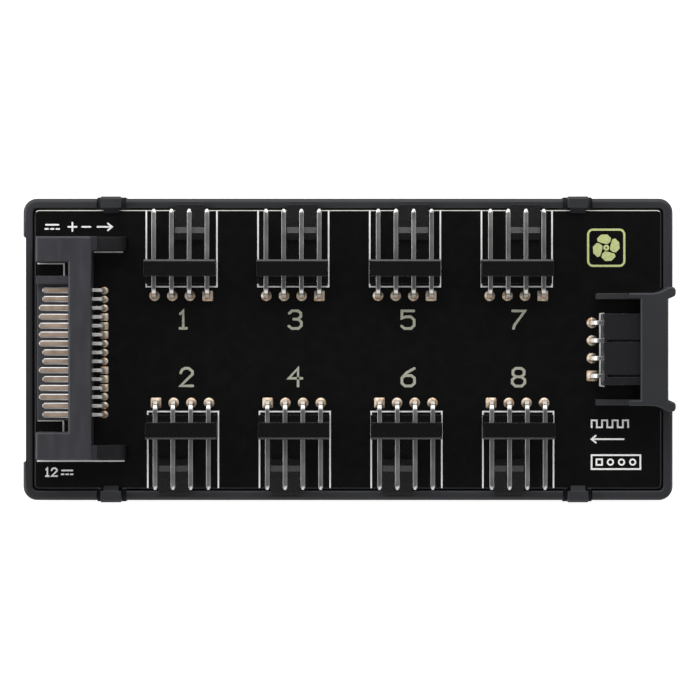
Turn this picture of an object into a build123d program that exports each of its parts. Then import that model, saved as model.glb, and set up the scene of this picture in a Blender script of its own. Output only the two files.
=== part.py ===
from build123d import *
import math
import os

os.makedirs("parts", exist_ok=True)

# Fan hub: a moulded tray with snap hooks, a circuit board, eight fan headers, a control input
# under a roof, and a drive-power plug. Millimetres, Z = 0 on the tray's underside.
# +X points out of the control input, +Y out of the odd-numbered fan headers.

# Circuit board
board_length = 90.0
board_width = 40.0
board_thickness = 1.6
board_corner_radius = 0.6
board_edge_bevel = 0.12
hole_diameter = 1.0
hole_sides = 8

# Tray
wall_thickness = 1.4
board_gap = 0.3
floor_thickness = 1.2
room_under_board = 3.2
wall_drop = 0.2
ledge_reach = 0.75
tray_corner_radius = 2.0
tray_edge_round = 0.6
tray_lip_width = 0.25
tray_lip_depth = 0.12
foot_bevel = 0.3
rib_length = 3.6
rib_thickness = 0.9
rib_spacing_x = 32.0
rib_spacing_y = 28.0
recess_depth = 0.45
recess_margin = 0.3

# Snap hooks on the long walls
hook_spacing = 67.0
hook_shift = -0.5
hook_width = 2.9
hook_slot = 0.65
hook_boss_rise = 0.6
hook_boss_bulge = 0.2
hook_bulge = 0.25
hook_nose_width = 2.15
hook_overlap = 0.45
hook_catch_gap = 0.1
hook_nose_height = 1.3
hook_nose_lip = 0.45
hook_bevel = 0.35

# Roofed port around the control input
port_side_room = 2.07
port_arm_thickness = 0.85
port_arm_length = 11.0
port_low_length = 4.4
port_low_height = 4.0
port_board_gap = 0.25
port_height = 7.2
roof_thickness = 1.0
roof_depth = 3.95
roof_setback = 1.3
flare_setback = 0.25
flare_length = 3.45
flare_reach = 0.85
flare_lead = 0.45
flare_round = 0.55
port_root_depth = 0.5
port_edge_bevel = 0.2

# Square pins, shared by the fan headers and the control input
pin_count = 4
pin_pitch = 2.54
pin_size = 0.64
pin_height = 2.6
pin_bend_radius = 1.1
bend_flats = 4
pin_tail = 1.2
pin_point = 0.22
pin_point_length = 0.65
pin_corner = 0.16
pin_corner_length = 0.4
pin_fit = 0.02

# Fan headers, measured outward from their line of pads
header_end_room = 20.925
odd_row_shift = 0.1
even_row_shift = 0.3
fan_pad_setback = 12.3
fan_columns = 4
body_back = 2.75
body_depth = 2.35
body_height = 6.2
body_bevel_width = 0.25
body_bevel_height = 0.15
sill_depth = 1.05
sill_height = 1.5
fan_pin_reach = 7.3

# Lock tab of a fan header, measured outward from the body's front
lock_width = 4.3
lock_length = 8.0
lock_plate = 0.6
lock_tip = 0.45
lock_ramp_height = 0.9
lock_ridge_height = 1.4
lock_ridge_start = 3.9
lock_ridge_length = 0.8
lock_heel_length = 1.0
lock_heel_height = 1.5

# Control input header
control_pad_setback = 9.94
control_body_back = 1.34
control_body_depth = 2.4
control_pin_reach = 6.2
cover_length = 2.9
cover_thickness = 1.2
latch_width = 4.6
latch_groove = 0.4
latch_groove_depth = 0.6
latch_groove_margin = 0.45
latch_ridge = 0.35

# Drive-power plug
plug_setback = 0.6
plug_length = 31.8
plug_shift = 0.18
plug_height = 6.0
plug_bevel = 0.2
tower_length = 4.6
key_tower_width = 3.7
far_tower_width = 3.92
block_depth = 3.3
arm_length = 4.8
arm_width = 2.0
arm_height = 5.4
arm_step_length = 4.0
arm_step_height = 3.4
tongue_width = 20.64
tongue_shift = 0.16
tongue_thickness = 1.25
tongue_height = 3.2
key_width = 1.15
key_height = 1.1

# Contacts of the drive-power plug, numbered from the key
contact_count = 15
contact_pitch = 1.27
contact_shift = -0.45
contact_width = 0.92
contact_thickness = 0.25
contact_end_gap = 0.3
contact_end_bevel = 0.3
contact_rim_width = 0.18
contact_rim_drop = 0.08
contact_short = 0.5
short_contacts = (1, 2, 8, 9, 11, 14, 15)
tail_width = 0.5
tail_lap = 0.8
tail_run = 1.45
tail_bend_radius = 0.6

# Parts soldered under the board
chip_length = 4.9
chip_width = 3.9
chip_height = 1.4
chip_standoff = 0.15
lead_count = 8
lead_pitch = 1.27
lead_width = 0.4
lead_thickness = 0.2
lead_reach = 1.05
lead_shoulder = 0.35
fuse_length = 4.5
fuse_width = 3.2
fuse_height = 1.0
fuse_x = -26.0
capacitor_length = 3.2
capacitor_width = 1.6
capacitor_height = 1.6
capacitor_count = 3
capacitor_pitch = 3.2
capacitor_x = -14.0
resistor_length = 1.6
resistor_width = 0.8
resistor_height = 0.45
resistor_count = 8
resistor_pitch = 2.0
resistor_x = 15.0
cap_share = 0.2
cap_proud = 0.05

# Levels and outlines worked out from the sizes above
board_underside = floor_thickness + room_under_board
board_top = board_underside + board_thickness
wall_top = board_top - wall_drop
pocket_length = board_length + 2 * board_gap
pocket_width = board_width + 2 * board_gap
tray_length = pocket_length + 2 * wall_thickness
tray_width = pocket_width + 2 * wall_thickness
header_width = pin_count * pin_pitch
fan_pad_line = board_width / 2 - fan_pad_setback

# Places of the headers: local +Y is the way the pins point, local Z = 0 is the board's top.
# The rows spread over what the plug and the control input leave free at the board's ends.
header_spacing = (board_length - 2 * header_end_room) / (fan_columns - 1)
fan_places = {}
for column in range(fan_columns):
    column_x = (column - (fan_columns - 1) / 2) * header_spacing
    odd_spot = (column_x + odd_row_shift, fan_pad_line, board_top)
    even_spot = (column_x + even_row_shift, -fan_pad_line, board_top)
    fan_places[2 * column + 1] = Location(odd_spot, (0, 0, 0))
    fan_places[2 * column + 2] = Location(even_spot, (0, 0, 180))
control_place = Location((board_length / 2 - control_pad_setback, 0, board_top), (0, 0, -90))

# Places of the plug's features along X and of its contacts along Y
plug_front = -board_length / 2 + plug_setback
block_front = plug_front + tower_length
block_back = block_front + block_depth
tail_x = block_back + tail_run
tongue_top = board_top + tongue_height + tongue_thickness / 2
contact_rows = []
for row in range(contact_count):
    contact_rows.append(contact_shift + ((contact_count - 1) / 2 - row) * contact_pitch)


def save(part, name):
    part.label = name
    export_step(part, f"parts/{name}.step")


# Snap hook for the +Y wall, centred on X = 0: a finger on a proud boss, with a sloped nose over the board
inner_face = pocket_width / 2
outer_face = tray_width / 2
boss_foot = floor_thickness + hook_boss_rise
hook_root = board_underside
catch_level = board_top + hook_catch_gap
hook_top = catch_level + hook_nose_height
with BuildPart() as hook:
    with BuildSketch(Plane.YZ):
        Polygon(
            (inner_face, boss_foot),
            (outer_face, boss_foot),
            (outer_face + hook_boss_bulge, boss_foot + hook_boss_bulge),
            (outer_face + hook_boss_bulge, hook_root),
            (inner_face, hook_root),
            align=None,
        )
    extrude(amount=hook_width / 2 + hook_slot, both=True)
    with BuildSketch(Plane.YZ):
        Polygon(
            (inner_face, hook_root),
            (outer_face + hook_boss_bulge, hook_root),
            (outer_face + hook_bulge, wall_top),
            (outer_face + hook_bulge, hook_top - hook_bevel),
            (outer_face + hook_bulge - hook_bevel, hook_top),
            (inner_face, hook_top),
            align=None,
        )
    extrude(amount=hook_width / 2, both=True)
    with BuildSketch(Plane.YZ):
        Polygon(
            (inner_face, catch_level),
            (board_width / 2 - hook_overlap, catch_level),
            (board_width / 2 - hook_overlap, catch_level + hook_nose_lip),
            (inner_face, hook_top),
            align=None,
        )
    extrude(amount=hook_nose_width / 2, both=True)

# Window in the wall that leaves a slot on both sides of that finger
with BuildPart() as hook_window:
    with BuildSketch(Plane.XY.offset(hook_root)):
        with Locations((0, inner_face)):
            Rectangle(hook_width + 2 * hook_slot, wall_thickness, align=(Align.CENTER, Align.MIN))
    extrude(amount=wall_top - hook_root)

hook_places = []
for side in (-1, 1):
    hook_x = hook_shift + side * hook_spacing / 2
    hook_places.append(Location((hook_x, 0, 0), (0, 0, 0)))
    hook_places.append(Location((hook_x, 0, 0), (0, 0, 180)))

# Roofed port: two arms that stand on the end wall, flare to its outer face and reach in over the board
port_inner = header_width / 2 + port_side_room
port_outer = port_inner + port_arm_thickness
port_span = 2 * (port_outer + flare_reach)
flare_end = tray_length / 2 - flare_setback
flare_start = flare_end - flare_length
arm_start = flare_end - port_arm_length
roof_front = tray_length / 2 - roof_setback
roof_top = board_top + port_height + roof_thickness
port_root = wall_top - port_root_depth
port_mouth = port_inner + flare_lead * wall_thickness / (flare_end - roof_front)
with BuildPart() as port:
    with BuildSketch(Plane.XY.offset(port_root)) as arm_plan:
        with BuildLine():
            inner_edge = Line((arm_start, port_inner), (roof_front, port_inner))
            lead_in = Line(inner_edge @ 1, (flare_end, port_inner + flare_lead))
            end_edge = Line(lead_in @ 1, (flare_end, port_outer + flare_reach))
            land = Line(end_edge @ 1, (flare_end - 2 * flare_round, port_outer + flare_reach))
            sweep_out = TangentArc((flare_start, port_outer), land @ 1, tangent=(1, 0))
            outer_edge = Line((flare_start, port_outer), (arm_start, port_outer))
            Line(outer_edge @ 1, inner_edge @ 0)
        make_face()
        fillet(arm_plan.vertices().group_by(Axis.X)[-1], flare_round)
        mirror(about=Plane.XZ)
    extrude(amount=roof_top - port_root)
    with BuildSketch(Plane.XY.offset(board_top + port_height)):
        with Locations((roof_front, 0)):
            Rectangle(roof_depth, 2 * port_inner, align=(Align.MAX, Align.CENTER))
    extrude(amount=roof_thickness)
    chamfer(port.faces().sort_by(Axis.Z)[-1].outer_wire().edges(), port_edge_bevel)
    with BuildSketch(Plane.XY.offset(port_root)):
        with Locations((pocket_length / 2, 0)):
            Rectangle(port_arm_length, port_span, align=(Align.MAX, Align.CENTER))
    extrude(amount=board_top + port_board_gap - port_root, mode=Mode.SUBTRACT)
    with BuildSketch(Plane.XY.offset(board_top + port_low_height)):
        with Locations((arm_start + port_low_length, 0)):
            Rectangle(port_arm_length, port_span, align=(Align.MAX, Align.CENTER))
    extrude(amount=roof_top - board_top - port_low_height, mode=Mode.SUBTRACT)

# Tray: floor, walls, board ledge, crossed ribs, hooks and port in one moulding, open under the port's roof
with BuildPart() as tray:
    with BuildSketch():
        RectangleRounded(tray_length, tray_width, tray_corner_radius)
    extrude(amount=wall_top)
    fillet(tray.edges().group_by(Axis.Z)[-1], tray_edge_round)
    chamfer(tray.edges().group_by(Axis.Z)[0], foot_bevel)
    pocket_radius = tray_corner_radius - wall_thickness
    with BuildSketch(Plane.XY.offset(board_underside)):
        RectangleRounded(pocket_length, pocket_width, pocket_radius)
    extrude(amount=wall_top - board_underside, mode=Mode.SUBTRACT)
    rim = tray.faces().sort_by(Axis.Z)[-1]
    chamfer(rim.inner_wires()[0].edges(), length=tray_lip_width, length2=tray_lip_depth, reference=rim)
    with BuildSketch(Plane.XY.offset(floor_thickness)):
        RectangleRounded(board_length - 2 * ledge_reach, board_width - 2 * ledge_reach, pocket_radius)
    extrude(amount=room_under_board, mode=Mode.SUBTRACT)
    with BuildSketch(Plane.XY.offset(floor_thickness)):
        with GridLocations(rib_spacing_x, rib_spacing_y, 3, 2):
            Rectangle(rib_length, rib_thickness)
            Rectangle(rib_thickness, rib_length)
    extrude(amount=room_under_board)
    with BuildSketch(Plane.XY.offset(floor_thickness)) as plug_recess:
        with Locations((-tray_length / 2, 0)):
            Rectangle(2 * recess_depth, plug_length + 2 * recess_margin)
        fillet(plug_recess.vertices().group_by(Axis.X)[-1], recess_depth)
    extrude(amount=wall_top - floor_thickness, mode=Mode.SUBTRACT)
    with Locations(*hook_places):
        add(hook_window.part, mode=Mode.SUBTRACT)
    with Locations(*hook_places):
        add(hook.part)
    add(port.part)
    with BuildSketch():
        Polygon(
            (pocket_length / 2, -port_inner),
            (tray_length / 2, -port_mouth),
            (tray_length / 2, port_mouth),
            (pocket_length / 2, port_inner),
            align=None,
        )
    extrude(amount=wall_top, mode=Mode.SUBTRACT)
save(tray.part, "tray")

# Circuit board with bevelled upper edges and a drilled hole for every pin and tail
with BuildPart() as drill:
    with BuildSketch():
        RegularPolygon(hole_diameter / 2, hole_sides)
    extrude(amount=-board_thickness)
with BuildPart() as circuit_board:
    with BuildSketch(Plane.XY.offset(board_underside)):
        RectangleRounded(board_length, board_width, board_corner_radius)
    extrude(amount=board_thickness)
    chamfer(circuit_board.edges().group_by(Axis.Z)[-1], board_edge_bevel)
    with Locations(*fan_places.values(), control_place):
        with GridLocations(pin_pitch, 1, pin_count, 1):
            add(drill.part, mode=Mode.SUBTRACT)
    with Locations(*[(tail_x, row_y, board_top) for row_y in contact_rows]):
        add(drill.part, mode=Mode.SUBTRACT)
save(circuit_board.part, "circuit_board")


# Points of a quarter bend around a centre, turning clockwise from the start angle in a few flats
def bend(centre, radius, start):
    points = []
    for step in range(bend_flats + 1):
        angle = math.radians(start - 90 * step / bend_flats)
        points.append((centre[0] + radius * math.cos(angle), centre[1] + radius * math.sin(angle)))
    return points


# One square pin, bent from its soldered leg to the pointed end that a plug slides onto
def bent_pin(tip):
    half = pin_size / 2
    foot = -board_thickness - pin_tail
    centre = (pin_bend_radius, pin_height - pin_bend_radius)
    with BuildPart() as pin:
        with BuildSketch(Plane.YZ):
            Polygon(
                (-half, foot),
                *bend(centre, pin_bend_radius + half, 180),
                (tip, pin_height + half),
                (tip, pin_height - half),
                *reversed(bend(centre, pin_bend_radius - half, 180)),
                (half, foot),
                align=None,
            )
        extrude(amount=half, both=True)
        end = pin.faces().sort_by(Axis.Y)[-1]
        chamfer(end.edges().filter_by(Axis.X), length=pin_point, length2=pin_point_length, reference=end)
        end = pin.faces().sort_by(Axis.Y)[-1]
        chamfer(end.edges().filter_by(Axis.Z), length=pin_corner, length2=pin_corner_length, reference=end)
    return pin.part


def pin_row(tip):
    with BuildPart() as pins:
        with GridLocations(pin_pitch, 1, pin_count, 1):
            add(bent_pin(tip))
    return pins.part


# Pin 1 is at local +X, and the lock of every header is centred on pin 2
lock_x = ((pin_count - 1) / 2 - 1) * pin_pitch
body_front = body_back + body_depth

# Fan header body: a block with a low sill behind it and a lock tab lying on the board in front
with BuildPart() as fan_body:
    with BuildSketch(Plane.YZ):
        Polygon(
            (body_back - sill_depth, 0),
            (body_front, 0),
            (body_front, body_height - body_bevel_height),
            (body_front - body_bevel_width, body_height),
            (body_back, body_height),
            (body_back, sill_height),
            (body_back - sill_depth, sill_height),
            align=None,
        )
    extrude(amount=header_width / 2, both=True)
    with BuildSketch(Plane.YZ.offset(lock_x)):
        with Locations((body_front, 0)):
            Polygon(
                (0, 0),
                (lock_length, 0),
                (lock_length, lock_tip),
                (lock_ridge_start + lock_ridge_length, lock_ramp_height),
                (lock_ridge_start, lock_ridge_height),
                (lock_ridge_start - lock_heel_length, lock_heel_height),
                (lock_ridge_start - lock_heel_length, lock_plate),
                (0, lock_plate),
                align=None,
            )
    extrude(amount=lock_width / 2, both=True)
    with BuildSketch(Plane.XZ):
        with Locations((0, pin_height)):
            with GridLocations(pin_pitch, 1, pin_count, 1):
                Rectangle(pin_size + 2 * pin_fit, pin_size + 2 * pin_fit)
    extrude(amount=-body_front, mode=Mode.SUBTRACT)

fan_pins = pin_row(body_front + fan_pin_reach)
for number, place in fan_places.items():
    save(fan_body.part.moved(place), f"fan_header_{number}_body")
    save(fan_pins.moved(place), f"fan_header_{number}_pins")

# Control header body: a block with a cover over the pins, grooved on both sides of its latch
control_front = control_body_back + control_body_depth
cover_front = control_front + cover_length
cover_under = body_height - cover_thickness
with BuildPart() as control_body:
    with BuildSketch(Plane.YZ):
        Polygon(
            (control_body_back, 0),
            (control_front, 0),
            (control_front, cover_under),
            (cover_front, cover_under),
            (cover_front, body_height),
            (control_body_back, body_height),
            align=None,
        )
    extrude(amount=header_width / 2, both=True)
    with BuildSketch(Plane.XY.offset(body_height - latch_groove_depth)):
        with Locations((lock_x, cover_front)):
            with GridLocations(latch_width + latch_groove, 1, 2, 1):
                groove_length = cover_front - control_body_back - latch_groove_margin
                Rectangle(latch_groove, groove_length, align=(Align.CENTER, Align.MAX))
    extrude(amount=latch_groove_depth, mode=Mode.SUBTRACT)
    with BuildSketch(Plane.YZ.offset(lock_x)):
        with Locations((cover_front, cover_under)):
            Polygon(
                (0, 0),
                (-2 * latch_ridge, -latch_ridge),
                (-3 * latch_ridge, 0),
                align=None,
            )
    extrude(amount=latch_width / 2, both=True)
    with BuildSketch(Plane.XZ):
        with Locations((0, pin_height)):
            with GridLocations(pin_pitch, 1, pin_count, 1):
                Rectangle(pin_size + 2 * pin_fit, pin_size + 2 * pin_fit)
    extrude(amount=-control_front, mode=Mode.SUBTRACT)
save(control_body.part.moved(control_place), "control_header_body")
save(pin_row(control_front + control_pin_reach).moved(control_place), "control_header_pins")

# Power plug: a block across the board with two guide towers, two stepped arms and a keyed tongue
tongue_end = tongue_shift + tongue_width / 2
contact_slots = [(row_y, tongue_top) for row_y in contact_rows]
with BuildPart() as power_plug:
    with BuildSketch(Plane.XY.offset(board_top)):
        with Locations((block_front, plug_shift)):
            Rectangle(block_depth, plug_length, align=(Align.MIN, Align.CENTER))
        with Locations((plug_front, plug_shift + plug_length / 2)):
            Rectangle(tower_length, key_tower_width, align=(Align.MIN, Align.MAX))
        with Locations((plug_front, plug_shift - plug_length / 2)):
            Rectangle(tower_length, far_tower_width, align=(Align.MIN, Align.MIN))
    extrude(amount=plug_height)
    chamfer(power_plug.faces().sort_by(Axis.Z)[-1].edges(), plug_bevel)
    with BuildSketch(Plane.XZ.offset(-plug_shift)):
        with Locations((block_back, board_top)):
            Polygon(
                (0, 0),
                (arm_length, 0),
                (arm_length, arm_step_height),
                (arm_length - arm_step_length, arm_step_height),
                (arm_length - arm_step_length, arm_height),
                (0, arm_height),
                align=None,
            )
    extrude(amount=plug_length / 2, both=True)
    with BuildSketch(Plane.XY.offset(board_top)):
        with Locations((block_back, plug_shift)):
            Rectangle(arm_length, plug_length - 2 * arm_width, align=(Align.MIN, Align.CENTER))
    extrude(amount=arm_height, mode=Mode.SUBTRACT)
    with BuildSketch(Plane.YZ.offset(plug_front)):
        with Locations((tongue_shift, board_top + tongue_height)):
            Rectangle(tongue_width, tongue_thickness)
        with Locations((tongue_end, tongue_top)):
            Rectangle(key_width, key_height, align=(Align.MAX, Align.MIN))
    extrude(amount=tower_length)
    with BuildSketch(Plane.YZ.offset(block_front)):
        with Locations(*contact_slots):
            Rectangle(
                contact_width + 2 * pin_fit,
                contact_thickness + pin_fit,
                align=(Align.CENTER, Align.MIN),
            )
    extrude(amount=block_depth, mode=Mode.SUBTRACT)
save(power_plug.part, "power_plug_housing")


# One contact: a finger with coined edges on the tongue, and a narrower tail bent into the board
def contact(end_gap):
    half = contact_thickness / 2
    centre_z = tongue_top + half
    foot = board_underside - pin_tail
    centre = (tail_x - tail_bend_radius, centre_z - tail_bend_radius)
    with BuildPart() as piece:
        with BuildSketch(Plane.XY.offset(tongue_top)) as finger:
            with Locations((plug_front + end_gap, 0)):
                finger_length = tower_length - end_gap + tail_lap
                Rectangle(finger_length, contact_width, align=(Align.MIN, Align.CENTER))
            chamfer(finger.vertices().group_by(Axis.X)[0], contact_end_bevel)
        extrude(amount=contact_thickness)
        top = piece.faces().sort_by(Axis.Z)[-1]
        rim = top.edges().sort_by(Axis.X)[:-1]
        chamfer(rim, length=contact_rim_width, length2=contact_rim_drop, reference=top)
        with BuildSketch(Plane.XZ):
            Polygon(
                (block_front, centre_z + half),
                *bend(centre, tail_bend_radius + half, 90),
                (tail_x + half, foot),
                (tail_x - half, foot),
                *reversed(bend(centre, tail_bend_radius - half, 90)),
                (block_front, centre_z - half),
                align=None,
            )
        extrude(amount=tail_width / 2, both=True)
    return piece.part


long_contact = contact(contact_end_gap)
short_contact = contact(contact_end_gap + contact_short)
with BuildPart() as power_contacts:
    for row, row_y in enumerate(contact_rows, start=1):
        with Locations((0, row_y)):
            add(short_contact if row in short_contacts else long_contact)
save(power_contacts.part, "power_contacts")

# Signal buffer under the board: a moulded body with bent leads on both long sides
lead_rise = chip_standoff + chip_height / 2
with BuildPart() as lead_pair:
    with BuildSketch(Plane.YZ):
        with Locations((chip_width / 2, board_underside)):
            Polygon(
                (0, -lead_rise - lead_thickness / 2),
                (lead_shoulder + lead_thickness, -lead_rise - lead_thickness / 2),
                (lead_shoulder + lead_thickness, -lead_thickness),
                (lead_reach, -lead_thickness),
                (lead_reach, 0),
                (lead_shoulder, 0),
                (lead_shoulder, -lead_rise + lead_thickness / 2),
                (0, -lead_rise + lead_thickness / 2),
                align=None,
            )
        mirror(about=Plane.YZ)
    extrude(amount=lead_width / 2, both=True)
with BuildPart() as signal_buffer:
    with BuildSketch(Plane.XY.offset(board_underside - chip_standoff)):
        Rectangle(chip_length, chip_width)
    extrude(amount=-chip_height)
    with GridLocations(lead_pitch, 1, lead_count // 2, 1):
        add(lead_pair.part)
save(signal_buffer.part, "signal_buffer")


# A chip part with slightly proud metal end caps, hanging from the board's underside
def chip_part(length, width, height):
    with BuildPart() as piece:
        with BuildSketch(Plane.XY.offset(board_underside)):
            Rectangle(length, width - 2 * cap_proud)
        extrude(amount=cap_proud - height)
        with BuildSketch(Plane.XY.offset(board_underside)):
            with GridLocations(length * (1 - cap_share), 1, 2, 1):
                Rectangle(length * cap_share, width)
        extrude(amount=-height)
    return piece.part


with BuildPart() as resettable_fuse:
    with Locations((fuse_x, 0)):
        add(chip_part(fuse_length, fuse_width, fuse_height))
save(resettable_fuse.part, "resettable_fuse")

with BuildPart() as filter_capacitors:
    with Locations((capacitor_x, 0)):
        with GridLocations(1, capacitor_pitch, 1, capacitor_count):
            add(chip_part(capacitor_length, capacitor_width, capacitor_height))
save(filter_capacitors.part, "filter_capacitors")

with BuildPart() as signal_resistors:
    with Locations((resistor_x, 0)):
        with GridLocations(1, resistor_pitch, 1, resistor_count):
            add(chip_part(resistor_length, resistor_width, resistor_height))
save(signal_resistors.part, "signal_resistors")
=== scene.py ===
import bmesh
import bpy
import math
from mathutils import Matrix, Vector


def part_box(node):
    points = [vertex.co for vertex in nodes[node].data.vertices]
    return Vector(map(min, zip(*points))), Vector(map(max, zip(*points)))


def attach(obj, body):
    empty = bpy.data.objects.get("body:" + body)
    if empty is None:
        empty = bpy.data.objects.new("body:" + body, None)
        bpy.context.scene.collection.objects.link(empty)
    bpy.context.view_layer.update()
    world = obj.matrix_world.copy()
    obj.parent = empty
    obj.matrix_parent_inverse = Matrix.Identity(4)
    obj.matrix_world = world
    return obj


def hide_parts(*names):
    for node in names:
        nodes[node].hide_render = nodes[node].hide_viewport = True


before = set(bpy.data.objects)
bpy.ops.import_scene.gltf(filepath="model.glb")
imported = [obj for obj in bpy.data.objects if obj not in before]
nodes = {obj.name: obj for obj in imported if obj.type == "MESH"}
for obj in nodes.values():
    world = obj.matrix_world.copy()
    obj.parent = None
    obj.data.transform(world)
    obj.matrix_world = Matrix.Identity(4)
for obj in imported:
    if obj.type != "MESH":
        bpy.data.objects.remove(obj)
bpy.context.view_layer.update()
scene = bpy.context.scene
mm = 0.001
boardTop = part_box("circuit_board")[1].z
print("frame loaded:", len(nodes), "nodes")


def hexToLinear(code):
    parts = [int(code[i:i + 2], 16) / 255 for i in (1, 3, 5)]
    return [p / 12.92 if p <= 0.04045 else ((p + 0.055) / 1.055) ** 2.4 for p in parts] + [1.0]


# one node with its settings (sockets or properties) and its incoming links
def addNode(tree, kind, settings=None, links=None):
    node = tree.nodes.new(kind)
    for key, value in (settings or {}).items():
        if isinstance(key, int) or key in node.inputs:
            node.inputs[key].default_value = value
        else:
            setattr(node, key, value)
    for key, source in (links or {}).items():
        tree.links.new(source, node.inputs[key])
    return node


# empty material with its shader set up, and object coordinates in metres for the patterns
def startMaterial(name, settings):
    material = bpy.data.materials.new(name)
    material.use_nodes = True
    tree = material.node_tree
    shader = tree.nodes["Principled BSDF"]
    for key, value in settings.items():
        shader.inputs[key].default_value = value
    where = addNode(tree, "ShaderNodeTexCoord").outputs["Object"]
    return material, tree, shader, where


def joinShader(tree, shader, links):
    for key, source in links.items():
        tree.links.new(source, shader.inputs[key])


def perMm(size):
    return 1000.0 / size  # pattern scale for a feature of that size in millimetres


# cloudy pattern with features of that size in millimetres
def addNoise(tree, where, size, detail=3.0):
    settings = {"Scale": perMm(size), "Detail": detail}
    return addNode(tree, "ShaderNodeTexNoise", settings, {"Vector": where}).outputs["Fac"]


# place stretched along the axes, so that a pattern gets a direction
def addStretch(tree, where, scale):
    return addNode(tree, "ShaderNodeMapping", {"Scale": scale}, {"Vector": where}).outputs["Vector"]


# two colours over a pattern, each reached at its own value of it
def addTone(tree, pattern, colours, spots=(0.0, 1.0)):
    tone = addNode(tree, "ShaderNodeValToRGB", {}, {"Fac": pattern})
    for element, colour, spot in zip(tone.color_ramp.elements, colours, spots):
        element.position = spot
        element.color = hexToLinear(colour)
    return tone.outputs["Color"]


# a pattern spread between two limits
def addSpread(tree, pattern, limits):
    settings = {"To Min": limits[0], "To Max": limits[1]}
    return addNode(tree, "ShaderNodeMapRange", settings, {"Value": pattern}).outputs["Result"]


# relief of that depth in millimetres
def addRelief(tree, pattern, strength, depth):
    settings = {"Strength": strength, "Distance": depth * mm}
    return addNode(tree, "ShaderNodeBump", settings, {"Height": pattern}).outputs["Normal"]


# ABS from a spark-eroded mould: black, with a fine even grain that spreads each highlight
# the real grain is near 0.05 mm, too fine to show, so it is drawn coarser
absTray = {"colours": ("#212226", "#292a2e"), "spots": (0.35, 0.75), "patch": 14.0, "grain": 0.30,
           "relief": 0.5, "depth": 0.010, "rough": (0.44, 0.58)}
trayAbs, tree, shader, where = startMaterial("mouldedAbsTray", {"IOR": 1.46})
grain = addNoise(tree, where, absTray["grain"])
patch = addNoise(tree, where, absTray["patch"], 2.0)
joinShader(tree, shader, {"Base Color": addTone(tree, patch, absTray["colours"], absTray["spots"]),
                          "Roughness": addSpread(tree, grain, absTray["rough"]),
                          "Normal": addRelief(tree, grain, absTray["relief"], absTray["depth"])})

# liquid solder mask, sprayed and cured: glossy black with a slight orange peel over the glass weave
# the weave is drawn at about three times its real pitch
maskBoard = {"colours": ("#040405", "#080809"), "peel": 1.6, "weave": 1.777, "weaveShare": 0.25,
             "relief": 0.25, "depth": 0.004, "rough": (0.2, 0.3)}
solderMask, tree, shader, where = startMaterial("curedSolderMask", {"IOR": 1.46})
peel = addNoise(tree, where, maskBoard["peel"], 2.0)
waveScale = perMm(maskBoard["weave"]) * math.tau / 20  # a wave texture runs twenty radians per unit
threads = [addNode(tree, "ShaderNodeTexWave", {"Scale": waveScale, "Distortion": 0.6, "bands_direction": way},
                   {"Vector": where}).outputs["Fac"] for way in ("X", "Y")]
weave = addNode(tree, "ShaderNodeMath", {"operation": "MULTIPLY"}, {0: threads[0], 1: threads[1]})
height = addNode(tree, "ShaderNodeMath", {"operation": "MULTIPLY_ADD", 1: maskBoard["weaveShare"]},
                 {0: weave.outputs["Value"], 2: peel}).outputs["Value"]
joinShader(tree, shader, {"Base Color": addTone(tree, peel, maskBoard["colours"]),
                          "Roughness": addSpread(tree, peel, maskBoard["rough"]),
                          "Normal": addRelief(tree, height, maskBoard["relief"], maskBoard["depth"])})

# FR4 glass laminate, routed: a dry pale edge with the cloth layers showing as fine lines
# single fibres are near 0.01 mm, so bundles of them are drawn
fr4Edge = {"colours": ("#c4c1b4", "#e6e5de"), "spots": (0.3, 0.7), "fibre": 0.35, "layers": (1.0, 1.0, 5.0),
           "relief": 0.4, "depth": 0.02}
laminate, tree, shader, where = startMaterial("routedGlassLaminate", {"Roughness": 0.7, "IOR": 1.55})
fibre = addNoise(tree, addStretch(tree, where, fr4Edge["layers"]), fr4Edge["fibre"], 2.0)
joinShader(tree, shader, {"Base Color": addTone(tree, fibre, fr4Edge["colours"], fr4Edge["spots"]),
                          "Normal": addRelief(tree, fibre, fr4Edge["relief"], fr4Edge["depth"])})

# glass-filled nylon, moulded: black, or grey for the control input, with faint pale flecks and a satin skin
# flecks and skin are drawn coarser than the real fibres, which are under 0.02 mm thick
nylonSkin = {"fleck": 0.35, "spots": (0.05, 0.30), "skin": 0.22, "relief": 0.3, "depth": 0.006,
             "rough": (0.22, 0.32)}
nylons = {}
for nylonName, colours in {"mouldedGlassNylon": ("#0f0f10", "#070708"),
                           "mouldedGreyNylon": ("#29292d", "#1e1e22")}.items():
    nylons[nylonName], tree, shader, where = startMaterial(nylonName, {"IOR": 1.53})
    fleck = addNode(tree, "ShaderNodeTexVoronoi", {"Scale": perMm(nylonSkin["fleck"])},
                    {"Vector": where}).outputs["Distance"]
    skin = addNoise(tree, where, nylonSkin["skin"], 2.0)
    joinShader(tree, shader, {"Base Color": addTone(tree, fleck, colours, nylonSkin["spots"]),
                              "Roughness": addSpread(tree, skin, nylonSkin["rough"]),
                              "Normal": addRelief(tree, skin, nylonSkin["relief"], nylonSkin["depth"])})

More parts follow.
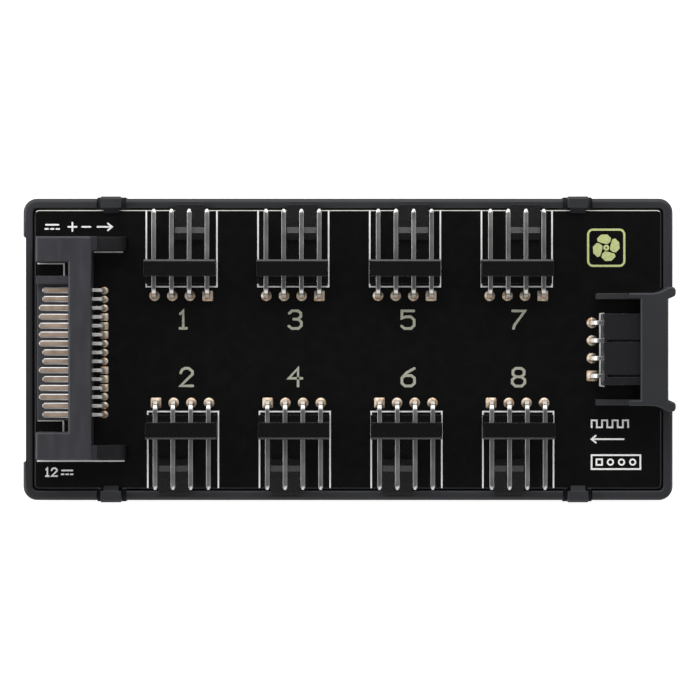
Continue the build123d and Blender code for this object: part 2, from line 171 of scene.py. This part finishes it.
# liquid crystal polymer, moulded: charcoal, matt, with soft flow streaks along the plug and painted shade on
# its two arms
# the skin's fine grain is drawn coarser than it is
lcpPlug = {"colours": ("#28282d", "#323238"), "spots": (0.3, 0.75), "streak": 1.1, "flow": (1.0, 0.18, 1.0),
           "skin": 0.25, "relief": 0.35, "depth": 0.008, "rough": (0.44, 0.58), "paintedShadeSheen": (0.15, 0.5),
           "paintedShadeFrom": -36.3, "paintedShadeTo": -31.7, "paintedShade": ((0.16, 0.45), (0.75, 0.3))}
plugLcp, tree, shader, where = startMaterial("mouldedLcpPlug", {"IOR": 1.5})
streak = addNoise(tree, addStretch(tree, where, lcpPlug["flow"]), lcpPlug["streak"], 4.0)
tone = addTone(tree, streak, lcpPlug["colours"], lcpPlug["spots"])
skin = addNoise(tree, where, lcpPlug["skin"], 2.0)
# painted shade: the two arms behind the block are darker toward their thin ends, in colour and in sheen
place = addNode(tree, "ShaderNodeSeparateXYZ", {}, {"Vector": where})
paintedShadeRange = {"From Min": lcpPlug["paintedShadeFrom"] * mm, "From Max": lcpPlug["paintedShadeTo"] * mm}
along = addNode(tree, "ShaderNodeMapRange", paintedShadeRange, {"Value": place.outputs["X"]})
paintedShade = addNode(tree, "ShaderNodeValToRGB", {}, {"Fac": along.outputs["Result"]})
paintedShade.color_ramp.elements[0].color = (1.0, 1.0, 1.0, 1.0)
paintedShade.color_ramp.elements[1].color = (0.0, 0.0, 0.0, 1.0)
for spot, share in lcpPlug["paintedShade"]:
    paintedShade.color_ramp.elements.new(spot).color = (share, share, share, 1.0)
paintedShadeTone = addNode(tree, "ShaderNodeMix", {"data_type": "RGBA", "blend_type": "MULTIPLY", 0: 1.0},
                {6: tone, 7: paintedShade.outputs["Color"]})
joinShader(tree, shader, {"Base Color": paintedShadeTone.outputs[2],
                          "Specular IOR Level": addSpread(tree, paintedShade.outputs["Color"], lcpPlug["paintedShadeSheen"]),
                          "Roughness": addSpread(tree, streak, lcpPlug["rough"]),
                          "Normal": addRelief(tree, skin, lcpPlug["relief"], lcpPlug["depth"])})

# tin on brass wire: drawn square for the pins, with faint draw lines and a soft bloom, and dipped, so duller,
# on the plug's tails; the real draw lines are near 0.02 mm apart and are drawn coarser
tinWire = {"spots": (0.3, 0.7), "drawn": (1.0, 0.04, 1.0), "relief": 0.25, "depth": 0.006}
tins = {}
for tinName, look in {
    "tinPlatedDrawnWire": {"colours": ("#b1b0b0", "#cdcccb"), "line": 0.16, "bloom": 2.5,
                           "rough": (0.30, 0.38)},
    "tinDippedTail": {"colours": ("#c6c5c4", "#dddcdb"), "line": 0.3, "bloom": 0.8, "rough": (0.52, 0.66)},
}.items():
    tins[tinName], tree, shader, where = startMaterial(tinName, {"Metallic": 1.0})
    bloom = addNoise(tree, where, look["bloom"])
    line = addNoise(tree, addStretch(tree, where, tinWire["drawn"]), look["line"], 2.0)
    joinShader(tree, shader, {"Base Color": addTone(tree, bloom, look["colours"], tinWire["spots"]),
                              "Roughness": addSpread(tree, bloom, look["rough"]),
                              "Normal": addRelief(tree, line, tinWire["relief"], tinWire["depth"])})
pinTin = tins["tinPlatedDrawnWire"]

# solder under a skin of dried flux where it climbed the legs, pale as a painted highlight on the bends:
# milky, so it scatters light and mirrors little
fluxSolderHighlight = {"colours": ("#d6cdc1", "#f0e7da"), "spots": (0.35, 0.65), "patch": 0.5, "relief": 0.3,
              "depth": 0.01}
legSolderHighlight, tree, shader, where = startMaterial("fluxSolderPaintedHighlight", {"Roughness": 0.5, "IOR": 1.5})
patch = addNoise(tree, where, fluxSolderHighlight["patch"], 2.0)
joinShader(tree, shader, {"Base Color": addTone(tree, patch, fluxSolderHighlight["colours"], fluxSolderHighlight["spots"]),
                          "Normal": addRelief(tree, patch, fluxSolderHighlight["relief"], fluxSolderHighlight["depth"])})

# phosphor bronze strip with a thin flash, stamped: warm beige metal, a little cloudy
bronze = {"colours": ("#bda48f", "#d8c3b1"), "spots": (0.3, 0.7), "cloud": 1.2, "rough": (0.42, 0.52)}
contactBronze, tree, shader, where = startMaterial("stampedPhosphorBronze", {"Metallic": 1.0})
cloud = addNoise(tree, where, bronze["cloud"])
joinShader(tree, shader, {"Base Color": addTone(tree, cloud, bronze["colours"], bronze["spots"]),
                          "Roughness": addSpread(tree, cloud, bronze["rough"])})

# copper pad with a thin levelled solder coat: beige metal, uneven where the solder drew back
copperPad = {"colours": ("#b8967a", "#d2c4b2"), "spots": (0.35, 0.55), "blotch": 0.5, "relief": 0.5,
             "depth": 0.02}
padCopper, tree, shader, where = startMaterial("coatedCopperPad", {"Metallic": 1.0, "Roughness": 0.52})
blotch = addNoise(tree, where, copperPad["blotch"])
joinShader(tree, shader, {"Base Color": addTone(tree, blotch, copperPad["colours"], copperPad["spots"]),
                          "Normal": addRelief(tree, blotch, copperPad["relief"], copperPad["depth"])})

# screen-printed epoxy inks: flat chalky films, a little thin and ragged, drawn coarser than the screen's mesh
inkSkin = {"spots": (0.25, 0.6), "ragged": 0.4, "relief": 0.3, "depth": 0.01}
inks = {}
for inkName, colours in {"whiteEpoxyInk": ("#efefec", "#fdfdfb"), "khakiEpoxyInk": ("#949486", "#a8a898"),
                         "limeEpoxyInk": ("#aeb578", "#c6cd8c")}.items():
    inks[inkName], tree, shader, where = startMaterial(inkName, {"Roughness": 0.6, "IOR": 1.5})
    ragged = addNoise(tree, where, inkSkin["ragged"])
    joinShader(tree, shader, {"Base Color": addTone(tree, ragged, colours, inkSkin["spots"]),
                              "Normal": addRelief(tree, ragged, inkSkin["relief"], inkSkin["depth"])})

# parts shut in under the board: moulded epoxy and fired ceramic, both dull, with specks drawn coarser
chipSkin = {"relief": 0.3, "depth": 0.01}
chips = {}
for chipName, look in {
    "mouldedEpoxyChip": {"colours": ("#17171a", "#242428"), "speck": 0.3, "rough": 0.6},
    "firedCeramicChip": {"colours": ("#8d7658", "#a58d6c"), "speck": 0.25, "rough": 0.5},
}.items():
    chips[chipName], tree, shader, where = startMaterial(chipName, {"Roughness": look["rough"]})
    speck = addNoise(tree, where, look["speck"])
    joinShader(tree, shader, {"Base Color": addTone(tree, speck, look["colours"]),
                              "Normal": addRelief(tree, speck, chipSkin["relief"], chipSkin["depth"])})
print("materials ready:", len(bpy.data.materials))


# a new object on the part's one body
def addPiece(name, bm, materials):
    mesh = bpy.data.meshes.new(name)
    bm.to_mesh(mesh)
    bm.free()
    for material in materials:
        mesh.materials.append(material)
    piece = bpy.data.objects.new(name, mesh)
    scene.collection.objects.link(piece)
    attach(piece, "root")
    return piece


# the CAD node's own shape, welded and freed of its facet lines
weld = {"gap": 0.0005, "flatDegrees": 0.6}


def weldedShape(nodeName, flatten=True):
    source = nodes[nodeName].data
    bm = bmesh.new()
    spots = [bm.verts.new(vertex.co) for vertex in source.vertices]
    for polygon in source.polygons:
        bm.faces.new([spots[i] for i in polygon.vertices])
    bmesh.ops.remove_doubles(bm, verts=bm.verts, dist=weld["gap"] * mm)
    if flatten:
        bmesh.ops.dissolve_limit(bm, angle_limit=math.radians(weld["flatDegrees"]), verts=bm.verts,
                                 edges=bm.edges)
    bmesh.ops.recalc_face_normals(bm, faces=bm.faces)
    for face in bm.faces:
        face.smooth = True
    return bm


# stands for a CAD node, with the small rounds that a mould or a die leaves on every edge
def roundedPiece(nodeName, name, material, roundMm, steps=3, limit=32, clamp=True):
    piece = addPiece(name, weldedShape(nodeName), [material])
    edges = piece.modifiers.new("edgeRounds", "BEVEL")
    edges.width = roundMm * mm
    edges.segments = steps
    edges.limit_method = "ANGLE"
    edges.angle_limit = math.radians(limit)
    edges.harden_normals = True
    edges.use_clamp_overlap = clamp
    normals = piece.modifiers.new("evenNormals", "WEIGHTED_NORMAL")
    normals.keep_sharp = True
    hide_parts(nodeName)
    return piece


# moulded and stamped pieces, each with its own edge round in millimetres
edgeRounds = {"tray": 0.07, "plug": 0.08, "header": 0.03, "pin": 0.07, "contact": 0.06}
roundedPiece("tray", "trayMoulding", trayAbs, edgeRounds["tray"], clamp=False)
roundedPiece("power_plug_housing", "plugMoulding", plugLcp, edgeRounds["plug"])

# contacts: bronze, tinned from inside the block on, with coined rims where the flash is worn to bright metal
contactLook = {"tinFrom": 5.5, "rimFrom": 0.5, "rimTo": 0.98}
contacts = roundedPiece("power_contacts", "plugContacts", contactBronze,
                        edgeRounds["contact"], steps=2, clamp=False)
contacts.data.materials.append(tins["tinDippedTail"])
contacts.data.materials.append(pinTin)
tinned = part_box("power_contacts")[0].x + contactLook["tinFrom"] * mm
bm = bmesh.new()
bm.from_mesh(contacts.data)
bmesh.ops.bisect_plane(bm, geom=bm.verts[:] + bm.edges[:] + bm.faces[:], plane_co=(tinned, 0, 0),
                       plane_no=(1, 0, 0))
for face in bm.faces:
    if face.calc_center_median().x > tinned:
        face.material_index = 1
    elif contactLook["rimFrom"] < face.normal.z < contactLook["rimTo"]:
        face.material_index = 2
bm.to_mesh(contacts.data)
bm.free()
roundedPiece("control_header_body", "controlMoulding", nylons["mouldedGreyNylon"],
             edgeRounds["header"])

solderHighlightFrom = 0.6  # how far a face of a leg has to turn back to get the pale solder, partly a painted highlight


# pins, with pale solder on the back of each leg up to its bend, partly a painted highlight there
def solderedPins(nodeName, name, back):
    piece = roundedPiece(nodeName, name, pinTin, edgeRounds["pin"])
    piece.data.materials.append(legSolderHighlight)
    for polygon in piece.data.polygons:
        polygon.material_index = int(polygon.normal.dot(Vector(back)) > solderHighlightFrom)


solderedPins("control_header_pins", "controlPins", (-1, 0, 0))
for number in range(1, 9):
    roundedPiece(f"fan_header_{number}_body", f"fanMoulding{number}", nylons["mouldedGlassNylon"],
                 edgeRounds["header"], limit=20)
    solderedPins(f"fan_header_{number}_pins", f"fanPins{number}", (0, -1 if number % 2 else 1, 0))
print("moulded pieces and pins rounded")

# board: mask on the flat faces, pale bare laminate only on the long +Y edge that faces the light and black
# mask as painted shade on the other edges, plated walls in the drilled holes
boardLook = {"edgeInset": 0.5, "holeInset": 1.0}
bm = weldedShape("circuit_board", flatten=False)
boardLow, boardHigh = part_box("circuit_board")
for face in bm.faces:
    face.smooth = False
    middle = face.calc_center_median()
    inset = min(middle.x - boardLow.x, boardHigh.x - middle.x, middle.y - boardLow.y, boardHigh.y - middle.y)
    # painted shade: only the edge faces turned to +Y get bare laminate, the edges turned from the light keep
    # the black mask
    if face.normal.y > 0.5 and inset < boardLook["edgeInset"] * mm:
        face.material_index = 1
    elif abs(face.normal.z) < 0.5 and inset > boardLook["holeInset"] * mm:
        face.material_index = 2
boardPiece = addPiece("maskedBoard", bm, [solderMask, laminate, padCopper])
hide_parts("circuit_board")

# parts under the board keep their solids
chipNodes = {"signal_buffer": "mouldedEpoxyChip", "resettable_fuse": "mouldedEpoxyChip",
             "filter_capacitors": "firedCeramicChip", "signal_resistors": "firedCeramicChip"}
for nodeName, chipName in chipNodes.items():
    nodes[nodeName].data.materials.clear()
    nodes[nodeName].data.materials.append(chips[chipName])
print("board and inner parts dressed")

# thickness of the ink, with a tiny step from film to film so that films that cross never share a level
films = {"thick": 0.02, "step": 0.00005, "steps": 200}


# film of ink on the board: an upper and a lower face for each group of corners, with walls around the loops
def inkFilm(bm, spots, tops, loops):
    thick = films["thick"] + films["step"] * (len(bm.verts) % films["steps"])
    low = [bm.verts.new((x * mm, y * mm, boardTop)) for x, y in spots]
    high = [bm.verts.new((x * mm, y * mm, boardTop + thick * mm)) for x, y in spots]
    for top in tops:
        bm.faces.new([high[i] for i in top])
        bm.faces.new([low[i] for i in reversed(top)])
    for loop in loops:
        for i, after in zip(loop, loop[1:] + loop[:1]):
            bm.faces.new([low[i], low[after], high[after], high[i]])


# ribbon of ink along points in millimetres, closed where it comes back to its start, else with round ends
def inkStroke(bm, points, width):
    line = [Vector(point) for point in points]
    closed = (line[0] - line[-1]).length < 0.001
    if closed:
        line.pop()
    count = len(line)
    right, left = [], []
    for i, spot in enumerate(line):
        before = spot - line[i - 1] if i or closed else line[1] - spot
        after = line[(i + 1) % count] - spot if i < count - 1 or closed else before
        lean = (before.normalized() + after.normalized()).normalized()
        miter = max(lean.dot(after.normalized()), 0.4)  # sharp turns are cut short
        side = Vector((lean.y, -lean.x)) * min(width / 2 / miter, width)
        right.append(spot + side)
        left.append(spot - side)
    spots = right + left
    tops = [[i, (i + 1) % count, count + (i + 1) % count, count + i]
            for i in range(count if closed else count - 1)]
    if closed:
        return inkFilm(bm, spots, tops, [list(range(count)), list(range(count, 2 * count))[::-1]])
    caps = []
    for spot, out in ((line[-1], line[-1] - line[-2]), (line[0], line[0] - line[1])):
        turns = [math.atan2(out.y, out.x) + math.radians(a) for a in (-60, -30, 0, 30, 60)]
        caps.append(list(range(len(spots), len(spots) + len(turns))))
        spots += [spot + Vector((math.cos(turn), math.sin(turn))) * width / 2 for turn in turns]
    tops += [[count - 1] + caps[0] + [2 * count - 1], [count] + caps[1] + [0]]
    inkFilm(bm, spots, tops, [list(range(count)) + caps[0] + list(range(count, 2 * count))[::-1] + caps[1]])


def arc(cx, cy, radius, start, end, steps=14):
    turns = [math.radians(start + (end - start) * i / steps) for i in range(steps + 1)]
    return [(cx + radius * math.cos(a), cy + radius * math.sin(a)) for a in turns]


# white outlines printed around the headers and the plug
outlines = {"width": 0.22, "halfHeader": 5.07, "outer": 19.85, "spacing": 16.05,
            "rows": ({"side": 1, "inner": 9.0, "shift": 0.17}, {"side": -1, "inner": 8.94, "shift": 0.38}),
            # control input: one line with short turned ends
            "control": [(36.75, 5.15), (36.2, 5.08), (36.2, -5.2), (36.75, -5.3)],
            # plug: a little off its moulding, so that only some runs show
            "plug": ([(-36.8, 13.98), (-32.4, 13.98)], [(-44.6, -16.04), (-32.2, -16.04)],
                     [(-44.5, 12.33), (-40.8, 12.33), (-40.8, 10.5)],
                     [(-44.5, -10.21), (-40.9, -10.21), (-40.9, -12.0)])}
bm = bmesh.new()
for column in range(4):
    for row in outlines["rows"]:
        middle = (column - 1.5) * outlines["spacing"] + row["shift"]
        leftX, rightX = middle - outlines["halfHeader"], middle + outlines["halfHeader"]
        outerY, innerY = row["side"] * outlines["outer"], row["side"] * row["inner"]
        corners = [(leftX, outerY), (leftX, innerY), (rightX, innerY), (rightX, outerY)]
        inkStroke(bm, corners, outlines["width"])
for run in (outlines["control"], *outlines["plug"]):
    inkStroke(bm, run, outlines["width"])
addPiece("outlinePrint", bm, [inks["whiteEpoxyInk"]])

# output numbers 1 to 8, drawn as single round-ended strokes around their own middle
numbers = {"width": 0.38, "oddY": 4.26, "evenY": -4.0,
           "x": {1: -23.7, 3: -7.6, 5: 8.6, 7: 24.5, 2: -23.2, 4: -7.6, 6: 8.65, 8: 24.5}}
digits = {
    "1": [[(-0.40, 0.84), (0.02, 1.28), (0.02, -1.24)], [(-0.46, -1.24), (0.50, -1.24)]],
    "2": [[(-0.84, 0.62), (-0.62, 1.08), (-0.25, 1.28), (0.30, 1.28), (0.84, 0.86), (0.84, 0.42),
           (-0.84, -1.24), (0.90, -1.24)]],
    "3": [[(-0.84, 0.92), (-0.44, 1.28), (0.42, 1.28), (0.82, 0.94), (0.82, 0.46), (0.42, 0.08),
           (-0.20, 0.08)],
          [(0.42, 0.08), (0.90, -0.34), (0.90, -0.86), (0.46, -1.26), (-0.46, -1.26), (-0.90, -0.92)]],
    "4": [[(0.98, -0.16), (-0.92, -0.16), (0.42, 1.28), (0.42, -1.28)]],
    "5": [[(0.86, 1.26), (-0.86, 1.26), (-0.86, 0.22), (-0.30, 0.42), (0.42, 0.42), (0.90, -0.02),
           (0.90, -0.84), (0.46, -1.26), (-0.46, -1.26), (-0.90, -0.92)]],
    "6": [[(0.88, 1.26), (-0.22, 0.66), (-0.90, -0.10)],
          [(-0.90, -0.10), (-0.46, 0.24), (0.46, 0.24), (0.90, -0.14), (0.90, -0.88), (0.46, -1.26),
           (-0.46, -1.26), (-0.90, -0.88), (-0.90, -0.10)]],
    "7": [[(-0.86, 1.26), (0.92, 1.26), (-0.58, -0.78), (-0.72, -1.26)]],
    "8": [[(-0.40, 1.28), (0.40, 1.28), (0.80, 0.94), (0.80, 0.42), (0.40, 0.06), (-0.40, 0.06),
           (-0.80, 0.42), (-0.80, 0.94), (-0.40, 1.28)],
          [(-0.40, 0.06), (0.40, 0.06), (0.90, -0.36), (0.90, -0.86), (0.46, -1.28), (-0.46, -1.28),
           (-0.90, -0.86), (-0.90, -0.36), (-0.40, 0.06)]],
}


def drawDigit(bm, digit, x, y, size, width):
    for stroke in digits[digit]:
        inkStroke(bm, [(x + px * size, y + py * size) for px, py in stroke], width)


bm = bmesh.new()
for number, x in numbers["x"].items():
    drawDigit(bm, str(number), x, numbers["oddY" if number % 2 else "evenY"], 1.0, numbers["width"])
addPiece("numberPrint", bm, [inks["khakiEpoxyInk"]])
print("print on the board: outlines and numbers")

# plain electrical signs, as strokes in millimetres
signs = {
    "width": 0.24,
    # beside the plug: direct-current sign, plus, minus and supply arrow
    "plug": ([(-43.4, 17.9), (-41.6, 17.9)], [(-43.5, 17.3), (-43.1, 17.3)], [(-42.7, 17.3), (-42.3, 17.3)],
             [(-41.9, 17.3), (-41.5, 17.3)], [(-40.2, 17.6), (-39.0, 17.6)], [(-39.6, 18.2), (-39.6, 17.0)],
             [(-38.2, 17.6), (-37.0, 17.6)], [(-36.0, 17.6), (-33.9, 17.6)],
             [(-34.5, 18.1), (-33.9, 17.6), (-34.5, 17.1)]),
    # supply voltage: the plain number twelve with the direct-current sign
    "supply": {"digits": {"1": -43.2, "2": -42.2}, "y": -17.65, "size": 0.45},
    "direct": ([(-41.1, -17.4), (-39.6, -17.4)], [(-41.15, -17.95), (-40.85, -17.95)],
               [(-40.5, -17.95), (-40.2, -17.95)], [(-39.85, -17.95), (-39.55, -17.95)]),
    # pulse train over an arrow that points to the control input
    "pulse": {"x": 35.0, "low": -11.2, "high": -10.2, "count": 4, "period": 1.5},
    "arrow": ([(39.6, -12.9), (35.0, -12.9)], [(35.6, -12.4), (35.0, -12.9), (35.6, -13.4)]),
    # pin plan of a header: four pads in a frame, the first one square
    "plan": ([(35.0, -15.2), (42.0, -15.2), (42.0, -17.2), (35.0, -17.2), (35.0, -15.2)],
             [(35.7, -15.8), (36.5, -15.8), (36.5, -16.6), (35.7, -16.6), (35.7, -15.8)]),
    "planPads": {"x": (37.7, 39.3, 40.9), "y": -16.2, "radius": 0.4},
}
bm = bmesh.new()
for run in signs["plug"]:
    inkStroke(bm, run, signs["width"])
for digit, x in signs["supply"]["digits"].items():
    drawDigit(bm, digit, x, signs["supply"]["y"], signs["supply"]["size"], signs["width"])
pulse = signs["pulse"]
pulseRun = []
for step in range(pulse["count"]):
    x, half = pulse["x"] + step * pulse["period"], pulse["period"] / 2
    pulseRun += [(x, pulse["low"]), (x, pulse["high"]), (x + half, pulse["high"]), (x + half, pulse["low"])]
for run in (*signs["direct"], pulseRun, *signs["arrow"], *signs["plan"]):
    inkStroke(bm, run, signs["width"])
for x in signs["planPads"]["x"]:
    inkStroke(bm, arc(x, signs["planPads"]["y"], signs["planPads"]["radius"], 0, 360), signs["width"])
addPiece("signPrint", bm, [inks["whiteEpoxyInk"]])

# fan sign where the board has a free corner: a round-cornered frame, a hub and four filled blades
fanSign = {"x": 37.1, "y": 14.6, "half": 2.6, "corner": 0.7, "hub": 0.28, "width": 0.3,
           # reach in millimetres and turn in degrees
           "blade": ((0.58, -24), (1.05, -34), (1.55, -26), (1.92, -4), (2.02, 22), (1.86, 46), (1.5, 54),
                     (1.12, 48), (0.8, 36), (0.6, 18))}
bm = bmesh.new()
inset = fanSign["half"] - fanSign["corner"]
framePath = []
for turn, sx, sy in ((0, 1, 1), (90, -1, 1), (180, -1, -1), (270, 1, -1)):
    cornerX, cornerY = fanSign["x"] + sx * inset, fanSign["y"] + sy * inset
    framePath += arc(cornerX, cornerY, fanSign["corner"], turn, turn + 90, 6)
inkStroke(bm, framePath + framePath[:1], fanSign["width"])
for quarter in (0, 90, 180, 270):
    blade = [(reach, math.radians(turn + quarter)) for reach, turn in fanSign["blade"]]
    spots = [(fanSign["x"] + reach * math.cos(turn), fanSign["y"] + reach * math.sin(turn))
             for reach, turn in blade]
    inkFilm(bm, spots, [list(range(len(spots)))], [list(range(len(spots)))])
inkStroke(bm, arc(fanSign["x"], fanSign["y"], fanSign["hub"], 0, 360), fanSign["width"])
addPiece("fanSignPrint", bm, [inks["limeEpoxyInk"]])
print("plain signs printed")

# pads sit where the pins and tails pass through the board, read from the lowest pin ends
# the profile gives each ring's share of the way out from the leg and its height in millimetres
pads = {"half": 0.76, "hole": 0.33, "tailHalfX": 0.62, "tailHalfY": 0.54, "tailHole": 0.16, "steps": 32,
        "squareTails": (4, 5, 6, 10, 11, 12), "corner": 1.32, "apart": 0.95,
        "profile": ((1.0, 0.0), (1.0, 0.03), (0.92, 0.05), (0.5, 0.09), (0.2, 0.2), (0.0, 0.4), (0.0, 0.0))}


# one soldered pad: a low ring of metal with a thin fillet up to the leg, square for the first pin
def addPad(bm, x, y, halfX, halfY, hole, square):
    steps = pads["steps"]
    rings = []
    for share, height in pads["profile"]:
        ring = []
        for i in range(steps):
            turn = 2 * math.pi * (i + 0.5) / steps
            across, along = math.cos(turn) / halfX, math.sin(turn) / halfY
            reach = 1 / math.hypot(across, along)
            if square:
                reach = min(1 / max(abs(across), abs(along)), reach * pads["corner"])
            radius = hole + (reach - hole) * share
            ring.append(bm.verts.new(((x + radius * math.cos(turn)) * mm, (y + radius * math.sin(turn)) * mm,
                                      boardTop + height * mm)))
        rings.append(ring)
    for level, (outer, inner) in enumerate(zip(rings, rings[1:] + rings[:1])):
        for i in range(steps):
            after = (i + 1) % steps
            face = bm.faces.new([outer[i], outer[after], inner[after], inner[i]])
            face.smooth = level < len(rings) - 2  # the hole's wall and the underside stay flat


# middle of every leg of a node, in millimetres
def legSpots(nodeName):
    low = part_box(nodeName)[0].z
    feet = [v.co for v in nodes[nodeName].data.vertices if v.co.z < low + 0.01 * mm]
    groups = []
    for foot in feet:
        for group in groups:
            if (group[0] - foot).length < pads["apart"] * mm:
                group.append(foot)
                break
        else:
            groups.append([foot])
    middles = []
    for group in groups:
        xs, ys = [f.x for f in group], [f.y for f in group]
        middles.append(((min(xs) + max(xs)) / 2 / mm, (min(ys) + max(ys)) / 2 / mm))
    return middles


bm = bmesh.new()
padCount = 0
for number in range(1, 9):
    legs = sorted(legSpots(f"fan_header_{number}_pins"))
    first = legs[-1] if number % 2 else legs[0]
    for leg in legs:
        addPad(bm, *leg, pads["half"], pads["half"], pads["hole"], leg == first)
    padCount += len(legs)
legs = sorted(legSpots("control_header_pins"), key=lambda leg: leg[1])
for leg in legs:
    addPad(bm, *leg, pads["half"], pads["half"], pads["hole"], leg == legs[0])
tails = sorted(legSpots("power_contacts"), key=lambda leg: -leg[1])
for row, leg in enumerate(tails, start=1):
    addPad(bm, *leg, pads["tailHalfX"], pads["tailHalfY"], pads["tailHole"], row in pads["squareTails"])
addPiece("solderPads", bm, [padCopper])
print("pads:", padCount + len(legs) + len(tails))

# pale floor, white to the camera and to mirrors, that still takes the shadow
floorLook = {"colour": "#f4f4f4", "size": 4.0, "lift": 0.7, "under": 0.05}
bm = bmesh.new()
half = floorLook["size"] / 2
level = -floorLook["under"] * mm  # a hair below the tray, so that the two faces never share a plane
corners = ((-half, -half), (half, -half), (half, half), (-half, half))
bm.faces.new([bm.verts.new((x, y, level)) for x, y in corners])
floorMesh = bpy.data.meshes.new("studioFloor")
bm.to_mesh(floorMesh)
bm.free()
studioFloor = bpy.data.objects.new("studioFloor", floorMesh)
scene.collection.objects.link(studioFloor)
paper, tree, shader, where = startMaterial("paperSweep", {"Roughness": 0.9,
                                                          "Base Color": hexToLinear(floorLook["colour"])})
rays = addNode(tree, "ShaderNodeLightPath")
seen = addNode(tree, "ShaderNodeMath", {"operation": "MAXIMUM"},
               {0: rays.outputs["Is Camera Ray"], 1: rays.outputs["Is Glossy Ray"]})
seen = addNode(tree, "ShaderNodeMath", {"operation": "MAXIMUM"},
               {0: seen.outputs["Value"], 1: rays.outputs["Is Transmission Ray"]})
lift = addNode(tree, "ShaderNodeMath", {"operation": "MULTIPLY", 1: floorLook["lift"]},
               {0: seen.outputs["Value"]})
glow = addNode(tree, "ShaderNodeEmission", {"Color": (1, 1, 1, 1)}, {"Strength": lift.outputs["Value"]})
both = addNode(tree, "ShaderNodeAddShader", {}, {0: shader.outputs["BSDF"], 1: glow.outputs["Emission"]})
# clear from below, so that the underside can be looked at
clear = addNode(tree, "ShaderNodeBsdfTransparent")
facing = addNode(tree, "ShaderNodeNewGeometry")
oneSided = addNode(tree, "ShaderNodeMixShader", {},
                   {0: facing.outputs["Backfacing"], 1: both.outputs["Shader"], 2: clear.outputs["BSDF"]})
tree.links.new(oneSided.outputs["Shader"], tree.nodes["Material Output"].inputs["Surface"])
floorMesh.materials.append(paper)

# softboxes low around the object, the strongest from behind (+Y), and a dim room above
softboxes = {
    "backBox": {"spot": (0.0, 0.57, 0.50), "size": (1.0, 0.5), "watts": 5.8},
    "leftBox": {"spot": (-0.68, 0.05, 0.36), "size": (0.7, 0.45), "watts": 4.0},
    "rightBox": {"spot": (0.68, 0.0, 0.34), "size": (0.7, 0.45), "watts": 1.3},
    "frontBox": {"spot": (0.0, -0.55, 0.52), "size": (0.28, 0.6), "watts": 1.05},
}
for name, box in softboxes.items():
    lamp = bpy.data.lights.new(name, "AREA")
    lamp.shape = "RECTANGLE"
    lamp.size, lamp.size_y = box["size"]
    lamp.energy = box["watts"]
    holder = bpy.data.objects.new(name, lamp)
    holder.location = box["spot"]
    holder.rotation_euler = (-Vector(box["spot"])).to_track_quat("-Z", "Y").to_euler()
    scene.collection.objects.link(holder)
roomStrength = 0.075
room = bpy.data.worlds.new("dimRoom")
room.use_nodes = True
room.node_tree.nodes["Background"].inputs["Color"].default_value = (1, 1, 1, 1)
room.node_tree.nodes["Background"].inputs["Strength"].default_value = roomStrength
scene.world = room

# camera straight above, as far away as the heights in the photograph ask
shot = {"x": 0.287, "y": -0.093, "above": 570.0, "pixelsPerMm": 6.96, "pixels": 700, "sensor": 36.0}
lens = bpy.data.cameras.new("topCamera")
lens.sensor_width = shot["sensor"]
lens.lens = shot["sensor"] * shot["above"] / (shot["pixels"] / shot["pixelsPerMm"])
lens.clip_start = 0.01
lens.clip_end = 20.0
topCamera = bpy.data.objects.new("topCamera", lens)
topCamera.location = (shot["x"] * mm, shot["y"] * mm, boardTop + shot["above"] * mm)
scene.collection.objects.link(topCamera)
scene.camera = topCamera
scene.view_settings.view_transform = "Standard"
print("stage, lights and camera set")
